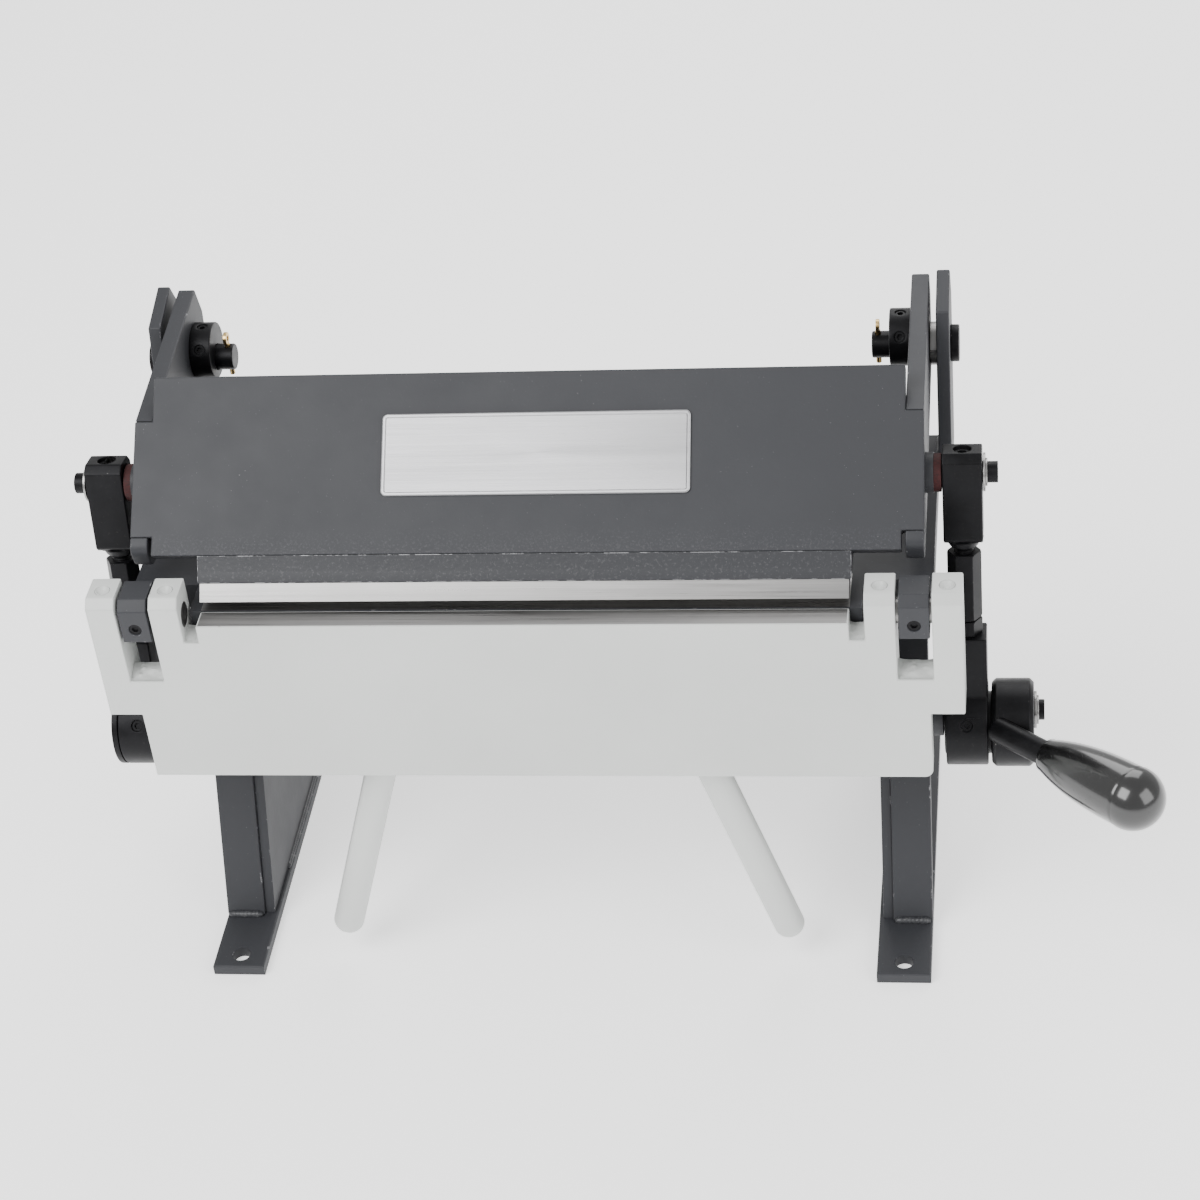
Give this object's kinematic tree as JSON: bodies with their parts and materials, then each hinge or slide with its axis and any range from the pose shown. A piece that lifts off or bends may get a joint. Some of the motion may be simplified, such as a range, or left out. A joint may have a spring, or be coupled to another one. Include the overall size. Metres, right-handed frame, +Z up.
{
  "type": "sheet metal brake",
  "caption": "Bench-top leaf brake: a beam clamps sheet on a bed by an eccentric lever and links, and a hinged apron with two rods folds it.",
  "frame": {"origin": "middle of the four bench bolt holes, on the bench", "axes": "+X along the bending line, to the lever's side; +Y to the back; +Z up"},
  "size_m": [0.5141, 0.2699, 0.3082],
  "materials": {
    "frame_paint": "dark grey textured enamel, worn at edges",
    "apron_paint": "pale grey enamel",
    "machined_steel": "ground and brushed steel",
    "black_oxide": "black oxide steel, worn at edges",
    "brass": "plain brass",
    "fibre": "maroon fibre",
    "label_metal": "brushed plain plate with a raised rim",
    "grip_plastic": "glossy black moulded plastic"
  },
  "bodies": {
    "root": {"foot_bar_left": "frame_paint", "foot_bar_right": "frame_paint", "leg_bar_left": "frame_paint", "leg_bar_right": "frame_paint", "side_plate_left": "frame_paint", "side_plate_right": "frame_paint", "hinge_block_left": "frame_paint", "hinge_block_right": "frame_paint", "rear_upright_left": "frame_paint", "rear_upright_right": "frame_paint", "shaft_bearing_left": "frame_paint", "shaft_bearing_right": "frame_paint", "bed_plate": "machined_steel", "bed_front_bar": "frame_paint", "rear_cross_bar": "frame_paint", "hinge_block_screws": "black_oxide", "pivot_pins": "black_oxide", "pivot_split_pins": "brass", "pivot_spacers": "machined_steel"},
    "apron": {"apron_plate": "apron_paint", "ear_block_left": "apron_paint", "ear_block_right": "apron_paint", "ear_screws": "apron_paint", "hinge_pins": "machined_steel", "handle_rod_left": "apron_paint", "handle_rod_right": "apron_paint"},
    "beam": {"beam_plate": "frame_paint", "nose_bar": "frame_paint", "clamp_blade": "machined_steel", "blade_screws": "black_oxide", "beam_arm_left": "frame_paint", "beam_arm_right": "frame_paint", "beam_ribs": "frame_paint", "name_plate": "label_metal", "eccentric_collar_left": "black_oxide", "eccentric_collar_right": "black_oxide", "collar_screws": "black_oxide", "clamp_pins": "black_oxide", "clamp_bosses": "frame_paint", "fibre_washers": "fibre", "clamp_pin_clips": "machined_steel"},
    "crank": {"cross_shaft": "black_oxide", "eccentric_left": "black_oxide", "eccentric_right": "black_oxide", "lever_hub": "black_oxide", "lever_rod": "black_oxide", "lever_grip": "grip_plastic", "shaft_clip": "machined_steel"},
    "link_left": {"link_block_left": "black_oxide", "link_screws_left": "black_oxide", "link_studs_left": "black_oxide", "jam_nut_left": "black_oxide", "link_eye_left": "black_oxide"},
    "adjuster_left": {"adjuster_left": "black_oxide"},
    "link_right": {"link_block_right": "black_oxide", "link_screws_right": "black_oxide", "link_studs_right": "black_oxide", "jam_nut_right": "black_oxide", "link_eye_right": "black_oxide"},
    "adjuster_right": {"adjuster_right": "black_oxide"}
  },
  "joints": [
    {"name": "apron_swing", "type": "hinge", "parent": "root", "child": "apron", "pos_m": [0, -0.1018, 0.227], "axis": [-1, 0, 0], "range_deg": [0, 115]},
    {"name": "clamp_lever", "type": "hinge", "parent": "root", "child": "crank", "pos_m": [0, -0.06216, 0.13535], "axis": [1, 0, 0], "range_deg": [-12, 54]},
    {"name": "beam_clamp", "type": "hinge", "parent": "root", "child": "beam", "pos_m": [0, 0.046, 0.275], "axis": [1, 0, 0], "range_deg": [-0.36, 1.62]},
    {"name": "link_pivot_left", "type": "hinge", "parent": "beam", "child": "link_left", "pos_m": [-0.20335, -0.045, 0.263], "axis": [1, 0, 0], "range_deg": [-0.012, 0.054]},
    {"name": "adjuster_turn_left", "type": "hinge", "parent": "link_left", "child": "adjuster_left", "pos_m": [-0.20335, -0.05489, 0.20686], "axis": [0, 0.1736, 0.9848], "range_deg": [-180, 180]},
    {"name": "link_pivot_right", "type": "hinge", "parent": "beam", "child": "link_right", "pos_m": [0.20335, -0.045, 0.263], "axis": [1, 0, 0], "range_deg": [-0.012, 0.054]},
    {"name": "adjuster_turn_right", "type": "hinge", "parent": "link_right", "child": "adjuster_right", "pos_m": [0.20335, -0.05489, 0.20686], "axis": [0, 0.1736, 0.9848], "range_deg": [-180, 180]}
  ],
  "couplings": [
    {"joint": "beam_clamp", "follows": "clamp_lever", "ratio": 0.03},
    {"joint": "link_pivot_left", "follows": "clamp_lever", "ratio": 0.001},
    {"joint": "link_pivot_right", "follows": "clamp_lever", "ratio": 0.001}
  ]
}
